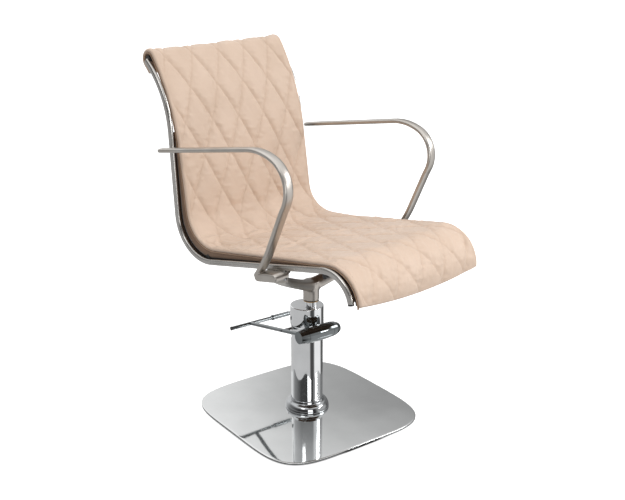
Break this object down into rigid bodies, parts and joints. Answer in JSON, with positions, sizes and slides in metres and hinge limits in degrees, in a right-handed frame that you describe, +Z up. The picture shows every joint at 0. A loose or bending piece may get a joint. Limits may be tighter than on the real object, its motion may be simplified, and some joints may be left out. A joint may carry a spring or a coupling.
{
  "type": "salon styling chair",
  "caption": "Salon styling chair: quilted leather sling seat on satin rails with cast arms, chrome hydraulic pump with foot lever, polished steel base plate",
  "frame": {"origin": "on the swivel axis, at floor level", "axes": "+Z is up along the swivel axis; the chair faces -Y, so the back is towards +Y; +X is the right-hand side seen from the front and the sitter's left"},
  "size_m": [0.57, 0.7577, 1.0055],
  "materials": {
    "leather": "soft pale beige leather, quilted in tall diamonds",
    "dark_edge": "dark leather edge strip",
    "panel": "brown leather-covered support panel",
    "foam": "foam, hidden under the leather",
    "satin_aluminium": "satin, drawn oval bar",
    "cast_aluminium": "satin cast aluminium, edges polished",
    "dark_caps": "matt black end caps",
    "chrome": "bright chrome plate",
    "polished_steel": "mirror-polished stainless steel",
    "rubber": "matt black rubber",
    "bronze": "plain bearing bronze",
    "steel": "plain steel"
  },
  "bodies": {
    "base": {"floor_mat": "rubber", "base_plate": "polished_steel", "base_bolts": "steel", "pump_flange": "steel", "base_collar": "chrome", "column_tube": "chrome", "ram_cylinder": "steel", "pump_cap": "chrome", "ram_bush": "bronze", "ram_seal": "rubber", "plunger_cylinder": "steel", "lever_bracket": "chrome", "bracket_screws": "steel", "lever_housing": "chrome", "housing_rings": "chrome", "shaft_bushes": "bronze", "lever_spring": "steel"},
    "lever": {"cross_shaft": "steel", "left_knuckle": "chrome", "right_knuckle": "chrome", "lever_rod": "chrome", "plunger_pin": "steel", "tread_bar": "chrome", "tread_ring": "rubber", "tread_sleeve": "chrome", "tread_plugs": "dark_caps"},
    "plunger": {"plunger": "steel"},
    "ram": {"ram": "chrome", "ram_piston": "steel", "piston_seal": "rubber", "fluted_ring": "chrome", "thrust_washer": "bronze"},
    "seat": {"yoke": "cast_aluminium", "swivel_bush": "bronze", "hub_washer": "steel", "hub_screw": "steel", "hub_cover": "cast_aluminium", "yoke_studs": "steel", "left_arm": "cast_aluminium", "right_arm": "cast_aluminium", "arm_screws": "steel", "left_rail": "satin_aluminium", "right_rail": "satin_aluminium", "rail_caps": "dark_caps", "top_tube": "steel", "rear_tube": "steel", "front_tube": "steel", "support_panel": "panel", "seat_foam": "foam", "lumbar_foam": "foam", "leather_pad": "leather", "left_edge_band": "dark_edge", "right_edge_band": "dark_edge"}
  },
  "joints": [
    {"name": "lift", "type": "slide", "parent": "base", "child": "ram", "axis": [0, 0, 1], "range_m": [0, 0.15]},
    {"name": "swivel", "type": "hinge", "parent": "ram", "child": "seat", "pos_m": [0, 0, 0.36], "axis": [0, 0, 1], "continuous": true},
    {"name": "foot_lever", "type": "hinge", "parent": "base", "child": "lever", "pos_m": [-0.00984, -0.0531, 0.268], "axis": [-0.9833, 0.1822, 0], "range_deg": [0, 12], "stiffness_Nm_per_rad": 6, "springref_deg": -28.65},
    {"name": "pump_stroke", "type": "slide", "parent": "base", "child": "plunger", "axis": [0, 0, -1], "range_m": [0, 0.0207]}
  ],
  "couplings": [
    {"joint": "pump_stroke", "follows": "foot_lever", "m_per_rad": 0.0984}
  ]
}
